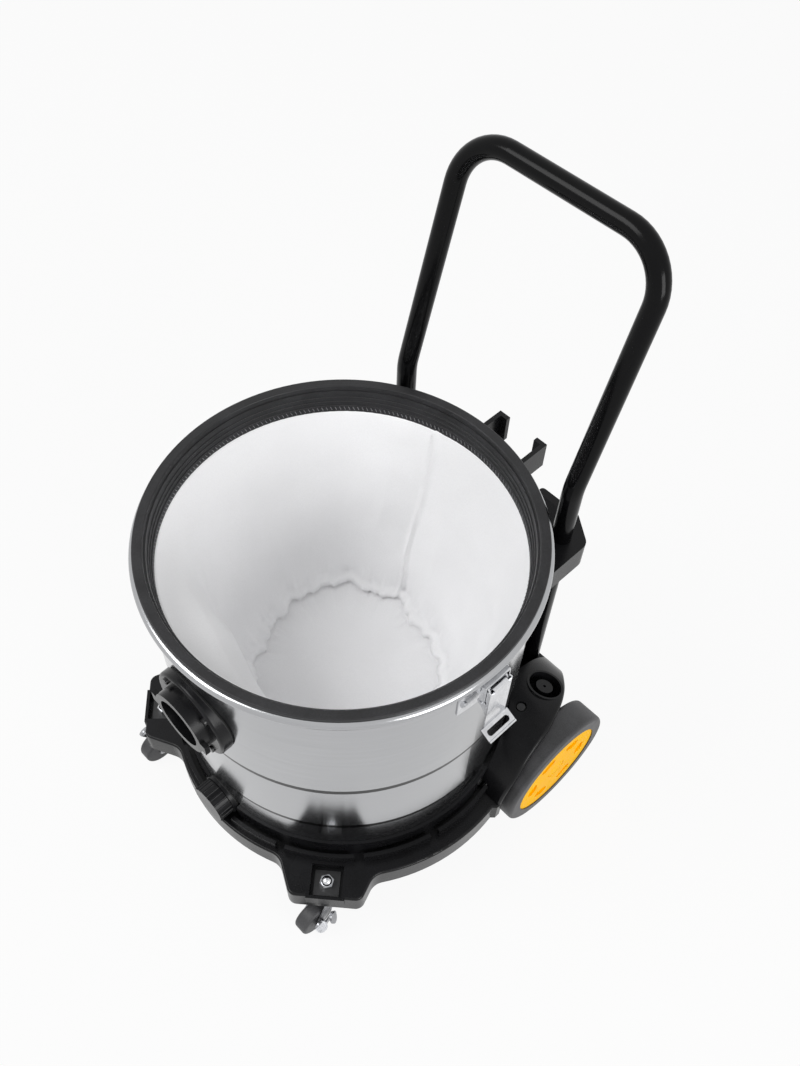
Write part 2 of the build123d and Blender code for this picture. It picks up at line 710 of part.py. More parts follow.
# Dolly: skirted tray with a lip round the drum, castor pods in front and corners for the wheels
with BuildPart() as chassis:
    with BuildSketch(Plane.XY.offset(base_z)) as dolly_plan:
        Circle(skirt_r)
        add(dolly_sides.sketch)
        for side in (1, -1):
            corners = [
                diagonal(pod_root_r, -pod_root_half_w),
                diagonal(pod_end_r, -pod_end_half_w),
                diagonal(pod_end_r, pod_end_half_w),
                diagonal(pod_root_r, pod_root_half_w),
            ]
            with BuildLine():
                Polyline([(side * x, y) for x, y in corners], close=True)
            make_face()
        add(corner_right)
        mirror(corner_right, about=Plane.YZ)
        for side, near in ((1, Align.MIN), (-1, Align.MAX)):
            with Locations((side * well_x, axle_y - well_r)):
                Rectangle(wheel_w, 2 * arch_r, align=(near, Align.MIN), mode=Mode.SUBTRACT)
        pod_ends = [
            v
            for v in dolly_plan.vertices()
            if abs(math.hypot(v.X, v.Y) - math.hypot(pod_end_r, pod_end_half_w)) < plan_tolerance and v.Y < 0
        ]
        fillet(pod_ends, radius=pod_end_corner_r)
        pod_roots = [
            v
            for v in dolly_plan.vertices()
            if v.Y < -plan_tolerance
            and min(abs(math.hypot(v.X, v.Y) - r) for r in (skirt_r, flank_r)) < plan_tolerance
        ]
        fillet(pod_roots, radius=pod_root_blend_r)
    extrude(amount=deck_z - base_z)
    fillet(chassis.faces().sort_by(Axis.Z)[-1].outer_wire().edges(), radius=deck_edge_r)
    with BuildSketch(Plane.XY.offset(base_z)):
        offset(dolly_plan.sketch, amount=-deck_wall)
    extrude(amount=deck_z - base_z - deck_wall, mode=Mode.SUBTRACT)
    with BuildSketch(Plane.XZ):
        lip_in = tank_low_r + seat_gap
        with Locations((lip_in, deck_z - deck_wall)):
            Rectangle(lip_wall, lip_top_z - deck_z + deck_wall, align=(Align.MIN, Align.MIN))
        with Locations((kerb_r, deck_z - deck_wall)):
            Rectangle(kerb_wall, kerb_top_z - deck_z + deck_wall, align=(Align.MAX, Align.MIN))
    revolve(axis=Axis.Z)
    with BuildSketch(Plane.XY.offset(deck_z - deck_wall)):
        Circle(deck_hole_r)
    extrude(amount=deck_wall, mode=Mode.SUBTRACT)
    with BuildSketch(Plane.XY.offset(deck_z - deck_wall)):
        with PolarLocations(0, deck_ribs):
            with Locations((deck_rib_inner_r, 0)):
                Rectangle(
                    deck_rib_outer_r - deck_rib_inner_r, deck_rib_w, align=(Align.MIN, Align.CENTER)
                )
    extrude(amount=-deck_rib_h)
    for side in (1, -1):
        pod_axis = Plane(
            origin=(side * castor_x, castor_y, 0), x_dir=(castor_x, side * castor_y, 0), z_dir=(0, 0, 1)
        )
        with BuildSketch(pod_axis.offset(pod_pocket_z - pod_pocket_wall)):
            Rectangle(pod_pocket_w + 2 * pod_pocket_wall, pod_pocket_w + 2 * pod_pocket_wall)
        extrude(amount=deck_z - pod_pocket_z + pod_pocket_wall)
        with BuildSketch(pod_axis.offset(base_z)):
            Circle(pod_boss_r)
        extrude(amount=pod_pocket_z - base_z)
        with BuildSketch(pod_axis.offset(pod_pocket_z)):
            Rectangle(pod_pocket_w, pod_pocket_w)
        extrude(amount=lip_top_z - pod_pocket_z, mode=Mode.SUBTRACT)
        with BuildSketch(pod_axis.offset(base_z)):
            Circle(castor_stem_r + hole_gap)
        extrude(amount=deck_z - base_z, mode=Mode.SUBTRACT)
        with BuildSketch(Plane.XY.offset(base_z)):
            with Locations((side * handle_leg_x, handle_leg_y)):
                Circle(handle_socket_r)
        extrude(amount=deck_z - base_z)
        with BuildSketch(side_plane(side * well_x)):
            with Locations((axle_y, axle_z)):
                Circle(spacer_r)
        extrude(amount=-side * 2 * spacer_r)
        with BuildSketch(Plane.XY.offset(deck_z - deck_wall)):
            with Locations((side * housing_screw_x, housing_screw_y)):
                Circle(pillar_r)
        extrude(amount=pillar_top_z - deck_z + deck_wall)
        with BuildSketch(Plane.XY.offset(deck_z)):
            with Locations((side * housing_screw_x, housing_screw_y)):
                Circle(housing_screw_r + hole_gap)
        extrude(amount=pillar_top_z - deck_z, mode=Mode.SUBTRACT)
    with BuildSketch(Plane.XY.offset(handle_foot_z)):
        with Locations((handle_leg_x, handle_leg_y), (-handle_leg_x, handle_leg_y)):
            Circle(handle_r + seat_gap)
    extrude(amount=lip_top_z - handle_foot_z, mode=Mode.SUBTRACT)
    with BuildSketch(front_plane(-corner_back_y)):
        with Locations(*handle_screw_spots):
            Circle(handle_screw_r + hole_gap)
    extrude(amount=corner_back_y - handle_leg_y, mode=Mode.SUBTRACT)
    with BuildSketch(side_plane(-wheel_face_x)):
        with Locations((axle_y, axle_z)):
            Circle(axle_r + seat_gap)
    extrude(amount=2 * wheel_face_x, mode=Mode.SUBTRACT)
    with BuildSketch(Plane.XY.offset(deck_z)):
        with PolarLocations(kerb_r - kerb_wall / 2, kerb_slots, start_angle=180 / kerb_slots):
            Rectangle(2 * kerb_wall, kerb_slot_w)
    extrude(amount=kerb_top_z - deck_z, mode=Mode.SUBTRACT)
    with BuildSketch(front_plane(tank_low_r - lip_wall)):
        with Locations((0, deck_z)):
            Rectangle(
                2 * (drain_flange_r + lift_gap), lip_top_z, align=(Align.CENTER, Align.MIN)
            )
    extrude(amount=skirt_r - tank_low_r + lip_wall, mode=Mode.SUBTRACT)
save(chassis, "chassis")

# Wheel housing: moulded arch over the rear corner, hollow, with a socket and a sunk screw
def on_arch(x, y):
    """Plane lying on the arch above the point x, y, facing outwards."""
    rise = math.sqrt(arch_r**2 - (y - axle_y) ** 2)
    return Plane(origin=(x, y, axle_z + rise), x_dir=(1, 0, 0), z_dir=(0, y - axle_y, rise))


socket_plane = on_arch(socket_x, socket_y)
screw_seat_z = axle_z + math.sqrt(arch_r**2 - (housing_screw_y - axle_y) ** 2) - housing_screw_sink
drum_clear_r = tank_low_r + seat_gap + lip_wall + lift_gap

with BuildPart() as housing_core:
    with BuildSketch(side_plane(housing_inner_x + cheek_wall)):
        with Locations((axle_y, axle_z)):
            Circle(arch_r - cheek_wall)
    extrude(amount=well_x - housing_inner_x - 2 * cheek_wall)
    with BuildSketch(Plane.XY):
        Circle(drum_clear_r + cheek_wall)
    extrude(amount=tank_top_z, mode=Mode.SUBTRACT)
    with BuildSketch(Plane.XY):
        Circle(kerb_r + lift_gap + cheek_wall)
    extrude(amount=kerb_top_z + lift_gap + cheek_wall, mode=Mode.SUBTRACT)

with BuildPart() as wheel_housing:
    with BuildSketch(side_plane(housing_inner_x)):
        with Locations((axle_y, axle_z)):
            Circle(arch_r)
        with Locations((axle_y, deck_z + seat_gap)):
            Rectangle(2 * arch_r, 2 * arch_r, align=(Align.CENTER, Align.MAX), mode=Mode.SUBTRACT)
    extrude(amount=housing_front_x - housing_inner_x)
    with BuildSketch(Plane.XY.offset(deck_z)):
        add(corner_right)
    extrude(amount=2 * arch_r, mode=Mode.INTERSECT)
    arch_top = wheel_housing.faces().filter_by(GeomType.CYLINDER).sort_by(SortBy.AREA)[-1]
    arch_edges = [
        e
        for e in arch_top.edges()
        if e.center().X > housing_inner_x and e.center().Z > deck_z + housing_edge_r
    ]
    fillet(arch_edges, radius=housing_edge_r)
    with BuildSketch(Plane.XY.offset(deck_z)):
        Circle(kerb_r + lift_gap)
    extrude(amount=kerb_top_z - deck_z + lift_gap, mode=Mode.SUBTRACT)
    with BuildSketch(Plane.XY.offset(deck_z)):
        Circle(drum_clear_r)
    extrude(amount=tank_top_z, mode=Mode.SUBTRACT)
    add(housing_core.part, mode=Mode.SUBTRACT)
    with BuildSketch(Plane.XY.offset(deck_z)):
        with Locations((housing_screw_x, housing_screw_y)):
            Circle(pillar_r + lift_gap)
    extrude(amount=pillar_top_z - deck_z + seat_gap, mode=Mode.SUBTRACT)
    with BuildSketch(socket_plane.offset(-socket_depth - socket_wall)):
        Circle(socket_r + socket_wall)
    extrude(amount=socket_depth + socket_wall)
    with BuildSketch(Plane.XY.offset(pillar_top_z + seat_gap)):
        with Locations((housing_screw_x, housing_screw_y)):
            Circle(pillar_r)
    extrude(amount=screw_seat_z - pillar_top_z)
    with BuildSketch(side_plane(well_x)):
        with Locations((axle_y, axle_z)):
            Circle(well_r)
    extrude(amount=wheel_w, mode=Mode.SUBTRACT)
    with BuildSketch(socket_plane.offset(-socket_depth)):
        Circle(socket_r)
    extrude(amount=2 * socket_depth, mode=Mode.SUBTRACT)
    with BuildSketch(socket_plane.offset(-socket_depth)):
        Circle(socket_peg_r)
        Circle(socket_peg_hole_r, mode=Mode.SUBTRACT)
    extrude(amount=socket_depth - socket_peg_drop)
    with BuildSketch(Plane.XY.offset(screw_seat_z)):
        with Locations((housing_screw_x, housing_screw_y)):
            Circle(housing_screw_sink_r)
    extrude(amount=arch_r, mode=Mode.SUBTRACT)
    with BuildSketch(Plane.XY.offset(pillar_top_z)):
        with Locations((housing_screw_x, housing_screw_y)):
            Circle(housing_screw_r + hole_gap)
    extrude(amount=arch_r, mode=Mode.SUBTRACT)
save_pair(wheel_housing, "wheel_housing")

with BuildPart() as housing_screws:
    screw_spots = [(housing_screw_x, housing_screw_y), (-housing_screw_x, housing_screw_y)]
    with BuildSketch(Plane.XY.offset(screw_seat_z)):
        with Locations(*screw_spots):
            Circle(housing_screw_head_r)
    extrude(amount=housing_screw_head_h)
    with BuildSketch(Plane.XY.offset(screw_seat_z)):
        with Locations(*screw_spots):
            Circle(housing_screw_r)
    extrude(amount=pillar_top_z - screw_seat_z - housing_screw_grip)
save(housing_screws, "housing_screws")

# Rear axle, its spacers and clips
hub_back_x = wheel_inner_x + hub_side_inset
hub_front_x = wheel_face_x - hub_side_inset
recess_x = hub_front_x - hub_cap_h - 2 * clip_h - 2 * lift_gap
clip_x = recess_x + lift_gap
axle_end_x = clip_x + 2 * clip_h

with BuildPart() as rear_axle:
    with BuildSketch(axle_plane):
        Rectangle(2 * axle_end_x, axle_r, align=(Align.CENTER, Align.MIN))
    revolve(axis=axle_line)
save(rear_axle, "rear_axle")


def both_sides(x, width, inner_r, outer_r):
    """Rings of the given width round the axle, from x outwards on the right and on the left."""
    with BuildPart() as rings:
        for side in (1, -1):
            with BuildSketch(side_plane(side * x)):
                with Locations((axle_y, axle_z)):
                    Circle(outer_r)
                    Circle(inner_r, mode=Mode.SUBTRACT)
            extrude(amount=side * width)
    return rings


axle_spacers = both_sides(well_x, hub_back_x - well_x - lift_gap, axle_r + seat_gap, spacer_r)
save(axle_spacers, "axle_spacers")
axle_clips = both_sides(clip_x, clip_h, axle_r + seat_gap, clip_r)
save(axle_clips, "axle_clips")

# Rear wheel: rubber tyre, pocketed hub, bush and centre cap
with BuildPart() as rear_tyre:
    with BuildSketch(axle_plane):
        with Locations((wheel_inner_x, hub_r + seat_gap)):
            Rectangle(wheel_w, wheel_r - hub_r - seat_gap, align=(Align.MIN, Align.MIN))
        fillet(vertices().group_by(Axis.Y)[-1], radius=tyre_round)
    revolve(axis=axle_line)
save_pair(rear_tyre, "rear_tyre")

with BuildPart() as rear_hub:
    with BuildSketch(axle_plane):
        with Locations((hub_back_x, hub_r)):
            Rectangle(hub_front_x - hub_back_x, hub_rim_wall, align=(Align.MIN, Align.MAX))
        with Locations((hub_front_x, 0)):
            Rectangle(hub_web_wall, hub_r - hub_rim_wall / 2, align=(Align.MAX, Align.MIN))
        with Locations((hub_back_x, 0)):
            Rectangle(hub_front_x - hub_back_x, hub_boss_r, align=(Align.MIN, Align.MIN))
        with Locations((hub_back_x, 0)):
            Rectangle(
                hub_front_x - hub_back_x, bush_r + seat_gap, align=(Align.MIN, Align.MIN), mode=Mode.SUBTRACT
            )
        with Locations((recess_x, 0)):
            Rectangle(
                hub_front_x - recess_x, hub_cap_r + seat_gap, align=(Align.MIN, Align.MIN), mode=Mode.SUBTRACT
            )
    revolve(axis=axle_line)
    with BuildSketch(side_plane(hub_front_x)):
        with Locations((axle_y, axle_z)):
            with PolarLocations(hub_pocket_ring_r, hub_pockets):
                SlotOverall(hub_pocket_l, hub_pocket_w, rotation=90)
    extrude(amount=-hub_pocket_depth, mode=Mode.SUBTRACT)
    with BuildSketch(side_plane(hub_front_x - hub_web_wall)):
        with Locations((axle_y, axle_z)):
            with PolarLocations(hub_r / 2 + hub_boss_r / 2 - hub_rim_wall / 2, hub_ribs):
                Rectangle(hub_r - hub_boss_r - hub_rim_wall / 2, hub_rib_w)
    extrude(amount=-(hub_front_x - hub_back_x - 2 * hub_web_wall))
save_pair(rear_hub, "rear_hub")

with BuildPart() as rear_bush:
    with BuildSketch(side_plane(recess_x)):
        with Locations((axle_y, axle_z)):
            Circle(bush_r)
            Circle(axle_r + running_gap, mode=Mode.SUBTRACT)
    extrude(amount=hub_back_x - recess_x)
save_pair(rear_bush, "rear_bush")

with BuildPart() as hub_cap:
    with BuildSketch(side_plane(hub_front_x - hub_cap_h)):
        with Locations((axle_y, axle_z)):
            Circle(hub_cap_r)
    extrude(amount=hub_cap_h)
    fillet(hub_cap.faces().sort_by(Axis.X)[-1].edges(), radius=hub_cap_dome)
save_pair(hub_cap, "hub_cap")

# Castors: stem, square washer and domed nut on the pod, fork, wheel and wing brake below it
fork_bottom_z = castor_fork_top_z - castor_fork_crown_h
fork_half_w = castor_wheel_w / 2 + castor_fork_gap
wheel_y = castor_y - castor_trail
castor_spots = [(castor_x, castor_y), (-castor_x, castor_y)]
washer_top_z = pod_pocket_z + castor_washer_h
nut_top_z = washer_top_z + castor_nut_h
castor_axis = Axis((castor_x, wheel_y, castor_wheel_r), (1, 0, 0))

with BuildPart() as caster_stems:
    with BuildSketch(Plane.XY.offset(fork_bottom_z - lift_gap - castor_stem_head_h)):
        with Locations(*castor_spots):
            Circle(castor_stem_head_r)
    extrude(amount=castor_stem_head_h)
    with BuildSketch(Plane.XY.offset(fork_bottom_z - lift_gap)):
        with Locations(*castor_spots):
            Circle(castor_stem_r)
    extrude(amount=nut_top_z - fork_bottom_z + lift_gap)
save(caster_stems, "caster_stems")

with BuildPart() as caster_washers:
    for side in (1, -1):
        washer_plane = Plane(
            origin=(side * castor_x, castor_y, pod_pocket_z),
            x_dir=(castor_x, side * castor_y, 0),
            z_dir=(0, 0, 1),
        )
        with BuildSketch(washer_plane):
            Rectangle(castor_washer_w, castor_washer_w)
            Circle(castor_stem_r + hole_gap, mode=Mode.SUBTRACT)
        extrude(amount=castor_washer_h)
save(caster_washers, "caster_washers")

with BuildPart() as caster_nuts:
    with BuildSketch(Plane.XY.offset(washer_top_z)):
        with Locations(*castor_spots):
            RegularPolygon(castor_nut_across / 2, 6, major_radius=False)
    extrude(amount=castor_nut_h)
    with Locations(*[(x, y, nut_top_z) for x, y in castor_spots]):
        Sphere(castor_nut_dome_r)
    with BuildSketch(Plane.XY.offset(washer_top_z)):
        with Locations(*castor_spots):
            Circle(castor_stem_r + running_gap)
    extrude(amount=castor_nut_h + running_gap, mode=Mode.SUBTRACT)
    with BuildSketch(Plane.XY.offset(washer_top_z)):
        with Locations(*castor_spots):
            Circle(castor_nut_across)
    extrude(amount=-castor_nut_dome_r, mode=Mode.SUBTRACT)
save(caster_nuts, "caster_nuts")

with BuildPart() as caster_fork:
    with BuildSketch(Plane.XY.offset(fork_bottom_z)):
        with Locations((castor_x, castor_y)):
            Circle(castor_crown_r)
    extrude(amount=castor_fork_crown_h)
    for x in (castor_x + fork_half_w, castor_x - fork_half_w - castor_fork_wall):
        with BuildSketch(side_plane(x)):
            with Locations((castor_y, fork_bottom_z)):
                Rectangle(castor_cheek_w, castor_fork_crown_h / 2, align=(Align.CENTER, Align.MIN))
            with Locations((wheel_y, castor_wheel_r)):
                Circle(2 * castor_axle_r)
            make_hull()
            with Locations((wheel_y, castor_wheel_r)):
                Circle(castor_axle_r + running_gap, mode=Mode.SUBTRACT)
        extrude(amount=castor_fork_wall)
    with BuildSketch(Plane.XY.offset(fork_bottom_z)):
        with Locations((castor_x, castor_y)):
            Circle(castor_stem_r + running_gap)
    extrude(amount=castor_fork_crown_h, mode=Mode.SUBTRACT)
save_pair(caster_fork, "caster_fork")

with BuildPart() as caster_axle:
    axle_left_x = castor_x - fork_half_w - 2 * castor_fork_wall
    axle_right_x = castor_x + fork_half_w + castor_fork_wall + lift_gap + brake_hub_h + castor_fork_wall
    with BuildSketch(side_plane(axle_left_x)):
        with Locations((wheel_y, castor_wheel_r)):
            Circle(castor_axle_r)
    extrude(amount=axle_right_x - axle_left_x)
save_pair(caster_axle, "caster_axle")

with BuildPart() as caster_wheel:
    with BuildSketch(Plane(origin=(castor_x, wheel_y, castor_wheel_r), x_dir=(1, 0, 0), z_dir=(0, 0, 1))):
        with Locations((0, castor_axle_r + running_gap)):
            Rectangle(
                castor_wheel_w,
                castor_wheel_r - castor_axle_r - running_gap,
                align=(Align.CENTER, Align.MIN),
            )
        fillet(vertices().group_by(Axis.Y)[-1], radius=castor_wheel_round)
    revolve(axis=castor_axis)
save_pair(caster_wheel, "caster_wheel")

with BuildPart() as caster_brake:
    brake_x = castor_x + fork_half_w + castor_fork_wall + lift_gap
    with BuildSketch(side_plane(brake_x)):
        with Locations((wheel_y, castor_wheel_r)):
            Circle(brake_hub_r)
    extrude(amount=brake_hub_h)
    for turn in (brake_rest_tilt - brake_wing_spread, brake_rest_tilt + brake_wing_spread):
        wing = (
            wheel_y + brake_wing_reach * math.cos(math.radians(turn)),
            castor_wheel_r + brake_wing_reach * math.sin(math.radians(turn)),
        )
        with BuildSketch(side_plane(brake_x + brake_hub_h - brake_wing_h)):
            with Locations((wheel_y, castor_wheel_r)):
                Circle(brake_hub_r / 2)
            with Locations(wing):
                Circle(brake_wing_r)
            make_hull()
        extrude(amount=brake_wing_h)
        pad_plane = Plane(
            origin=(brake_x + brake_hub_h + brake_pad_reach, *wing),
            x_dir=(0, -math.sin(math.radians(turn)), math.cos(math.radians(turn))),
            z_dir=(1, math.cos(math.radians(turn)), math.sin(math.radians(turn))),
        )
        with BuildSketch(pad_plane.offset(-brake_pad_h)):
            Circle(brake_pad_r)
        extrude(amount=brake_pad_h)
    with BuildSketch(side_plane(brake_x)):
        with Locations((wheel_y, castor_wheel_r)):
            Circle(castor_axle_r + running_gap)
    extrude(amount=brake_hub_h, mode=Mode.SUBTRACT)
save_pair(caster_brake, "caster_brake")

# Push handle: one bent tube, its feet in the dolly's sockets
with BuildPart() as handle_tube:
    with BuildLine():
        FilletPolyline(
            (-handle_leg_x, handle_leg_y, handle_foot_z),
            (-handle_leg_x, handle_leg_y, handle_kink_z),
            (-handle_leg_x, handle_top_y, handle_top_z),
            (handle_leg_x, handle_top_y, handle_top_z),
            (handle_leg_x, handle_leg_y, handle_kink_z),
            (handle_leg_x, handle_leg_y, handle_foot_z),
            radius=[handle_kink_r, handle_corner_r, handle_corner_r, handle_kink_r],
        )
    with BuildSketch(Plane.XY.offset(handle_foot_z)):
        with Locations((-handle_leg_x, handle_leg_y)):
            Circle(handle_r)
            Circle(handle_r - handle_wall, mode=Mode.SUBTRACT)
    sweep()
save(handle_tube, "handle_tube")

with BuildPart() as handle_screws:
    with BuildSketch(front_plane(-corner_back_y)):
        with Locations(*handle_screw_spots):
            Circle(handle_screw_r)
    extrude(amount=corner_back_y - handle_leg_y - handle_r - seat_gap)
    with BuildSketch(front_plane(-corner_back_y)):
        with Locations(*handle_screw_spots):
            Circle(handle_screw_head_r)
    extrude(amount=-handle_screw_head_h)
save(handle_screws, "handle_screws")

# Tool holder: saddle on the drum, ears round the handle's legs, hooked bars and a C-shaped holder
saddle_in_r = tank_r + seat_gap
saddle_out_r = saddle_in_r + bracket_wall
ear_outline = [
    (bracket_ear_inner_x, math.sqrt(saddle_in_r**2 - bracket_ear_inner_x**2)),
    (bracket_ear_inner_x, bracket_bar_y - bracket_bar_w),
    (bracket_bar_end_x, bracket_bar_y - bracket_bar_w),
    (bracket_bar_end_x, bracket_bar_y),
    (bracket_ear_corner_x, bracket_bar_y),
    (bracket_ear_x, bracket_ear_back_y),
    (bracket_ear_x, bracket_ear_front_y),
    (bracket_ear_x, math.sqrt(saddle_in_r**2 - bracket_ear_x**2)),
]
bar_round = bracket_bar_round
ear_round = bracket_ear_corner_r

with BuildPart() as handle_bracket:
    with BuildSketch(Plane.XY.offset(bracket_z)):
        Circle(saddle_out_r)
        with BuildLine():
            reach = 2 * saddle_out_r
            half = math.radians(bracket_half_angle)
            Polyline(
                (0, 0),
                (reach * math.sin(half), reach * math.cos(half)),
                (-reach * math.sin(half), reach * math.cos(half)),
                close=True,
            )
        make_face(mode=Mode.INTERSECT)
        for side in (1, -1):
            with BuildLine():
                FilletPolyline(
                    [(side * x, y) for x, y in ear_outline],
                    radius=[0, bar_round, bar_round, bar_round, ear_round, ear_round, 0, 0],
                    close=True,
                )
            make_face()
        Circle(saddle_in_r, mode=Mode.SUBTRACT)
        with Locations((handle_leg_x, handle_leg_y), (-handle_leg_x, handle_leg_y)):
            Circle(handle_r + seat_gap, mode=Mode.SUBTRACT)
    extrude(amount=bracket_h)
    with BuildSketch(Plane.XY.offset(holder_z)):
        for side, near in ((1, Align.MAX), (-1, Align.MIN)):
            with Locations((side * holder_x, holder_reach_y)):
                Rectangle(bracket_wall, holder_reach_y - tank_inner_r, align=(near, Align.MAX))
                Rectangle(holder_tip_w, bracket_wall, align=(near, Align.MAX))
        Circle(saddle_in_r, mode=Mode.SUBTRACT)
    extrude(amount=holder_h)
    for angle in bracket_screw_angles:
        with BuildSketch(radial_plane(angle, bracket_screw_z, tank_inner_r)):
            Circle(bracket_screw_r + hole_gap)
        extrude(amount=saddle_out_r - tank_inner_r, mode=Mode.SUBTRACT)
save(handle_bracket, "handle_bracket")

with BuildPart() as bracket_screws:
    for angle in bracket_screw_angles:
        with BuildSketch(radial_plane(angle, bracket_screw_z, saddle_out_r)):
            Circle(bracket_screw_head_r)
        extrude(amount=bracket_screw_head_h)
        with BuildSketch(radial_plane(angle, bracket_screw_z, saddle_out_r)):
            Circle(bracket_screw_r)
        extrude(amount=tank_inner_r - saddle_out_r - bracket_screw_head_h)
save(bracket_screws, "bracket_screws")

# Toggle latch: base plate with ears, rolled lever, claw and the pins they turn on
latch_r = tank_r + seat_gap
latch_face_x = latch_pivot_x + lever_face_offset
claw_pivot_z = latch_pivot_z - claw_drop
claw_inner_y = lever_half_w + claw_side_gap
claw_half_w = claw_inner_y + claw_wall

with BuildPart() as latch_base:
    with BuildSketch(Plane.XY.offset(latch_plate_z)):
        Circle(latch_r + latch_plate_wall)
        Circle(latch_r, mode=Mode.SUBTRACT)
        with Locations((tank_r, 0)):
            Rectangle(2 * latch_plate_half_w, 2 * latch_plate_half_w, mode=Mode.INTERSECT)
    extrude(amount=latch_plate_h)
    ear_root_x = math.sqrt((latch_r + latch_plate_wall / 2) ** 2 - (latch_ear_y + latch_ear_wall / 2) ** 2)
    for y in (latch_ear_y, -latch_ear_y - latch_ear_wall):
        with BuildSketch(front_plane(-y)):
            with Locations((ear_root_x, latch_pivot_z)):
                with Locations((0, latch_ear_r)):
                    Rectangle(latch_plate_wall, latch_ear_h, align=(Align.MIN, Align.MAX))
            with Locations((latch_pivot_x, latch_pivot_z)):
                Circle(latch_ear_r)
            make_hull()
            with Locations((latch_pivot_x, latch_pivot_z)):
                Circle(latch_pin_r + running_gap, mode=Mode.SUBTRACT)
        extrude(amount=-latch_ear_wall)
    for angle in (rivet_turn, -rivet_turn):
        with BuildSketch(radial_plane(angle, latch_rivet_z, tank_inner_r)):
            Circle(latch_rivet_r + hole_gap)
        extrude(amount=rim_r, mode=Mode.SUBTRACT)
save_pair(latch_base, "latch_base")

with BuildPart() as latch_rivets:
    for angle in rivet_angles:
        with BuildSketch(radial_plane(angle, latch_rivet_z, latch_r + latch_plate_wall)):
            Circle(latch_rivet_head_r)
        extrude(amount=latch_rivet_head_h)
        with BuildSketch(radial_plane(angle, latch_rivet_z, latch_r + latch_plate_wall)):
            Circle(latch_rivet_r)
        extrude(amount=-latch_plate_wall - tank_wall - latch_rivet_head_h)
save(latch_rivets, "latch_rivets")


def cross_pins(z, half_length, sides):
    """Pins through the latches, parallel to Y, on the given sides of the drum."""
    with BuildPart() as pins:
        with BuildSketch(front_plane(-half_length)):
            with Locations(*[(side * latch_pivot_x, z) for side in sides]):
                Circle(latch_pin_r)
        extrude(amount=2 * half_length)
    return pins


latch_pivot_pins = cross_pins(latch_pivot_z, lever_half_w + claw_side_gap / 3, (1, -1))
save(latch_pivot_pins, "latch_pivot_pins")
claw_pin = cross_pins(claw_pivot_z, claw_half_w + claw_wall / 2, (1,))
save_pair(claw_pin, "claw_pin")

with BuildPart() as latch_lever:
    with BuildSketch(front_plane(0)):
        with BuildLine():
            Polyline(
                (latch_face_x, latch_pivot_z),
                (latch_face_x, lever_lip_z),
                (latch_face_x - lever_wall, lever_lip_z - lever_wall),
                (latch_face_x - lever_wall, latch_pivot_z),
                close=True,
            )
        make_face()
    extrude(amount=lever_half_w, both=True)
    with BuildSketch(front_plane(0)):
        with BuildLine():
            Polyline(
                (latch_face_x, lever_lip_z),
                (latch_face_x + lever_lip_reach, lever_foot_z),
                (latch_face_x + lever_lip_reach, lever_foot_z - lever_wall),
                (latch_face_x - lever_wall, lever_lip_z - lever_wall),
                close=True,
            )
        make_face()
        with Locations((latch_face_x + lever_lip_reach, lever_foot_z - lever_wall / 2)):
            Circle(lever_wall)
    extrude(amount=lever_lip_half_w, both=True)
    with BuildSketch(Plane.XY.offset(lever_foot_z - 2 * lever_wall)):
        with Locations((latch_face_x + lever_lip_reach / 2, 0)):
            SlotOverall(lever_slot_l, lever_slot_w, rotation=90)
    extrude(amount=lever_lip_z - lever_foot_z + 2 * lever_wall, mode=Mode.SUBTRACT)
    with BuildSketch(front_plane(0)):
        with Locations((latch_pivot_x, latch_pivot_z)):
            Circle(lever_knuckle_r)
        with Locations((latch_pivot_x, latch_pivot_z + lever_knuckle_r)):
            Rectangle(lever_face_offset, lever_knuckle_r, align=(Align.MIN, Align.MAX))
    extrude(amount=lever_knuckle_half_w, both=True)
    for y in (lever_half_w - lever_wall, -lever_half_w):
        with BuildSketch(front_plane(-y)):
            with BuildLine():
                Polyline(
                    (latch_face_x, lever_flange_z),
                    (latch_face_x, latch_pivot_z + lever_knuckle_r),
                    (latch_pivot_x, latch_pivot_z + lever_knuckle_r),
                    (latch_face_x - lever_flange_depth, latch_pivot_z),
                    (latch_face_x - lever_flange_depth, claw_pivot_z - lever_knuckle_r),
                    close=True,
                )
            make_face()
        extrude(amount=-lever_wall)
    with BuildSketch(front_plane(-lever_half_w)):
        with Locations((latch_pivot_x, latch_pivot_z), (latch_pivot_x, claw_pivot_z)):
            Circle(latch_pin_r + running_gap)
    extrude(amount=2 * lever_half_w, mode=Mode.SUBTRACT)
save_pair(latch_lever, "latch_lever")

with BuildPart() as latch_claw:
    for y in (claw_inner_y, -claw_half_w):
        with BuildSketch(front_plane(-y)):
            with Locations((latch_pivot_x, claw_hook_z)):
                Rectangle(claw_arm_w, claw_hook_z - claw_pivot_z, align=(Align.CENTER, Align.MAX))
            with Locations((latch_pivot_x, claw_pivot_z)):
                Circle(claw_arm_w / 2 + claw_wall)
                Circle(latch_pin_r + running_gap, mode=Mode.SUBTRACT)
        extrude(amount=-claw_wall)
    with BuildSketch(Plane.XY.offset(claw_hook_z)):
        with Locations((latch_pivot_x + claw_arm_w / 2, 0)):
            Rectangle(claw_arm_w + claw_hook_reach, 2 * claw_half_w, align=(Align.MAX, Align.CENTER))
    extrude(amount=claw_wall)
save_pair(latch_claw, "latch_claw")
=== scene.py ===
"""Looks of a shop vacuum whose motor head is off: steel drum, cloth filter, push handle and wheeled base."""

import math

import bmesh
import bpy
from mathutils import Matrix, Vector, noise


